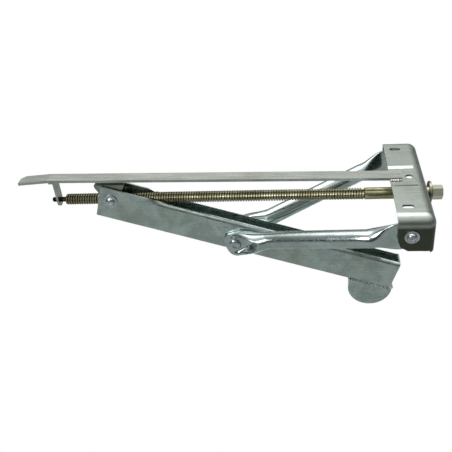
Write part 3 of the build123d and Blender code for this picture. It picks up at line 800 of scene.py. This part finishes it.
# ---- weld beads: overlapping blobs, no two alike
bead = {"spans": ((0.9, 1.25), (0.8, 1.05), (0.6, 0.85)), "ripple": 0.07, "fineRipple": 0.04}
strapWeld = {
    "reach": 0.0150, "sideY": 0.0118, "z": -0.0012, "blob": 0.0027, "count": 7, "seed": 4,
    "alongStray": (-0.0006, 0.0006), "sideStray": (-0.0005, 0.0007), "lift": 0.0005, "sizes": (0.8, 1.15),
}
# the foot's cheeks are welded along the leg's bottom corners
footSeam = {
    "start": 0.4055, "end": 0.4705, "sideY": 0.0136, "v": -0.0340, "blob": 0.0019, "count": 26, "seed": 9,
    "sizes": (0.9, 1.1),
}


def addBlob(bm, centre, size, random):
    made = bmesh.ops.create_icosphere(bm, subdivisions=3, radius=1.0)
    # along, across and up
    stretch = Vector([size * random.uniform(*span) for span in bead["spans"]])
    lean = random.uniform(0, pi)
    for vert in made["verts"]:
        p = vert.co
        ripple = 1 + bead["ripple"] * sin(5 * p.x + lean) * cos(4 * p.y - lean)
        ripple += bead["fineRipple"] * sin(9 * p.z + 3 * p.x)
        stretched = Vector((p.x * stretch.x, p.y * stretch.y, p.z * stretch.z))
        vert.co = Vector(centre) + stretched * ripple


def addStrapWelds(w):
    random = Random(w["seed"])
    bm = bmesh.new()
    for side in (-1, 1):
        for i in range(w["count"]):
            x = -w["reach"] * (i + 0.5) / w["count"] + random.uniform(*w["alongStray"])
            y = side * (w["sideY"] + random.uniform(*w["sideStray"]))
            z = w["z"] + random.uniform(0, w["lift"])
            addBlob(bm, (x, y, z), w["blob"] * random.uniform(*w["sizes"]), random)
    meshPiece("strap_weld_beads", bm, "weldMetal", "frame", ["strap_welds"])


def addFootSeams(w):
    random = Random(w["seed"])
    bm = bmesh.new()
    for side in (-1, 1):
        for i in range(w["count"]):
            u = between(w["start"], w["end"], (i + 0.5) / w["count"])
            centre = legPoint(u, w["v"], side * w["sideY"])
            addBlob(bm, centre, w["blob"] * random.uniform(*w["sizes"]), random)
    meshPiece("foot_seam_beads", bm, "weldMetal", "leg", [])


addStrapWelds(strapWeld)
addFootSeams(footSeam)
print("stage: welds")

# ---- rivets and bolts: domed heads with a punched dimple; lengths are measured outwards along Y
trunnionHead = dict(
    at=(-0.4437, -0.0255), face=0.0179, start=0.0132, shankR=0.005, headR=0.0075, height=0.0036, dimple=0.0024
)
boltHead = dict(
    at=(0.0033, -0.0305), face=0.1158, start=0.0930, shankR=0.005, headR=0.007, height=0.0045, dimple=0.0026
)
midHead = dict(
    at=(-0.252769, -0.107094), face=0.0209, start=0.0163, shankR=0.005, headR=0.0095, height=0.0036,
    dimple=0.0050,
)
# the dimple's shape: depth below the head's top, and share of the dimple's radius
dimpleShape = ((0.0003, 0.9), (0.0008, 0.72), (0.0008, 0.4), (0.0005, 0.2), (0.0004, 0))
domeSteps = 9
headAround = 40


def headProfile(h):
    points = [(h["start"], 0), (h["start"], h["shankR"]), (h["face"], h["shankR"]), (h["face"], h["headR"])]
    for i in range(1, domeSteps + 1):
        a = pi / 2 * i / domeSteps
        r = h["dimple"] + (h["headR"] - h["dimple"]) * cos(a)
        points.append((h["face"] + h["height"] * sin(a), r))
    top = h["face"] + h["height"]
    return points + [(top - depth, h["dimple"] * share) for depth, share in dimpleShape]


def addHeads(name, h, sides, body, node):
    bm = bmesh.new()
    for side in sides:
        lathe(bm, headProfile(h), (h["at"][0], 0, h["at"][1]), (0, side, 0), headAround)
    meshPiece(name, bm, "fastenerZinc", body, [node])


addHeads("trunnion_heads", trunnionHead, (-1, 1), "nut", "trunnion_rivets")
addHeads("bolt_heads", boltHead, (-1, 1), "frame", "pivot_bolts")
addHeads("mid_head_near", midHead, (-1,), "stay_near", "mid_rivet_near")
addHeads("mid_head_far", midHead, (1,), "stay_far", "mid_rivet_far")
print("stage: rivets and bolts")

# ---- floor, light and surroundings
floorLook = {"z": -0.62, "size": 9.0, "shade": (0.30, 0.32, 0.31), "rough": 0.9}
sky = {
    # (height, brightness): dark at the horizon, dim halfway up, bright overhead
    "levels": (
        (0.0, 0.10), (0.40, 0.14), (0.50, 0.05), (0.60, 0.10), (0.70, 0.26), (0.80, 0.36), (0.90, 0.95),
        (1.0, 1.2),
    ),
    "tint": (1.0, 1.01, 0.99),
    "turnover": (-0.3, 0.5),  # where front gives way to behind
    "front": 0.55,
    "behind": 1.25,
    "strength": 1.5,
}
aim = (-0.25, 0, -0.08)
lamps = {
    "lampTop": dict(place=(-0.5, 0.5, 1.7), aim=aim, size=(1.6, 1.1), power=16.0),
    "lampFront": dict(place=(-1.1, -1.3, 0.7), aim=aim, size=(0.7, 0.7), power=7.0),
    "lampLow": dict(place=(-0.33, 0.34, -0.60), aim=(-0.33, 0.0, -0.12), size=(1.3, 0.25), power=1.4),
}


# a grey floor in reflections, plain white where it is seen directly
def addFloor(f):
    bm = bmesh.new()
    half = f["size"] / 2
    corners = ((-half, -half), (half, -half), (half, half), (-half, half))
    bm.faces.new([bm.verts.new((x, y, f["z"])) for x, y in corners])
    data = bpy.data.meshes.new("floor")
    bm.to_mesh(data)
    bm.free()
    floor = bpy.data.objects.new("floor", data)
    scene.collection.objects.link(floor)
    material = bpy.data.materials.new("floorPaper")
    material.use_nodes = True
    tree = material.node_tree
    shader = tree.nodes["Principled BSDF"]
    shader.inputs["Base Color"].default_value = (*f["shade"], 1)
    shader.inputs["Roughness"].default_value = f["rough"]
    glow = addNode(tree, "ShaderNodeEmission")
    glow.inputs["Color"].default_value = (1, 1, 1, 1)
    path = addNode(tree, "ShaderNodeLightPath")
    choose = addNode(tree, "ShaderNodeMixShader")
    link(tree, path.outputs["Is Camera Ray"], choose.inputs[0])
    link(tree, shader.outputs[0], choose.inputs[1])
    link(tree, glow.outputs[0], choose.inputs[2])
    link(tree, choose.outputs[0], tree.nodes["Material Output"].inputs["Surface"])
    data.materials.append(material)


# bright overhead and behind the jack, darker in front, so that bare metal has something to show
def addWorld(s):
    world = bpy.data.worlds.new("studio")
    scene.world = world
    world.use_nodes = True
    tree = world.node_tree
    back = tree.nodes["Background"]
    coord = addNode(tree, "ShaderNodeTexCoord")
    parts = addNode(tree, "ShaderNodeSeparateXYZ")
    link(tree, coord.outputs["Generated"], parts.inputs[0])
    ramp = addNode(tree, "ShaderNodeValToRGB")
    ramp.color_ramp.interpolation = "EASE"
    while len(ramp.color_ramp.elements) < len(s["levels"]):
        ramp.color_ramp.elements.new(0.5)
    for element, (place, level) in zip(ramp.color_ramp.elements, s["levels"]):
        element.position = place
        element.color = (*(level * share for share in s["tint"]), 1)
    link(tree, mapRange(tree, parts.outputs["Z"], -1.0, 1.0, interpolation="LINEAR"), ramp.inputs["Fac"])
    behind = mapRange(tree, parts.outputs["Y"], *s["turnover"], s["front"], s["behind"])
    scaled = addNode(tree, "ShaderNodeVectorMath", operation="SCALE")
    link(tree, ramp.outputs["Color"], scaled.inputs[0])
    link(tree, calculate(tree, "MULTIPLY", behind, s["strength"]), scaled.inputs["Scale"])
    path = addNode(tree, "ShaderNodeLightPath")
    seen = mixColour(tree, path.outputs["Is Camera Ray"], scaled.outputs[0], (1.0, 1.0, 1.0))
    link(tree, seen, back.inputs["Color"])
    back.inputs["Strength"].default_value = 1.0


def addLamp(name, setting):
    data = bpy.data.lights.new(name, "AREA")
    data.shape = "RECTANGLE"
    data.size, data.size_y = setting["size"]
    data.energy = setting["power"]
    lamp = bpy.data.objects.new(name, data)
    lamp.location = setting["place"]
    line = Vector(setting["aim"]) - Vector(setting["place"])
    lamp.rotation_euler = line.to_track_quat("-Z", "Y").to_euler()
    scene.collection.objects.link(lamp)


addFloor(floorLook)
addWorld(sky)
for lampName, setting in lamps.items():
    addLamp(lampName, setting)
scene.view_settings.view_transform = "Standard"
print("stage: studio")
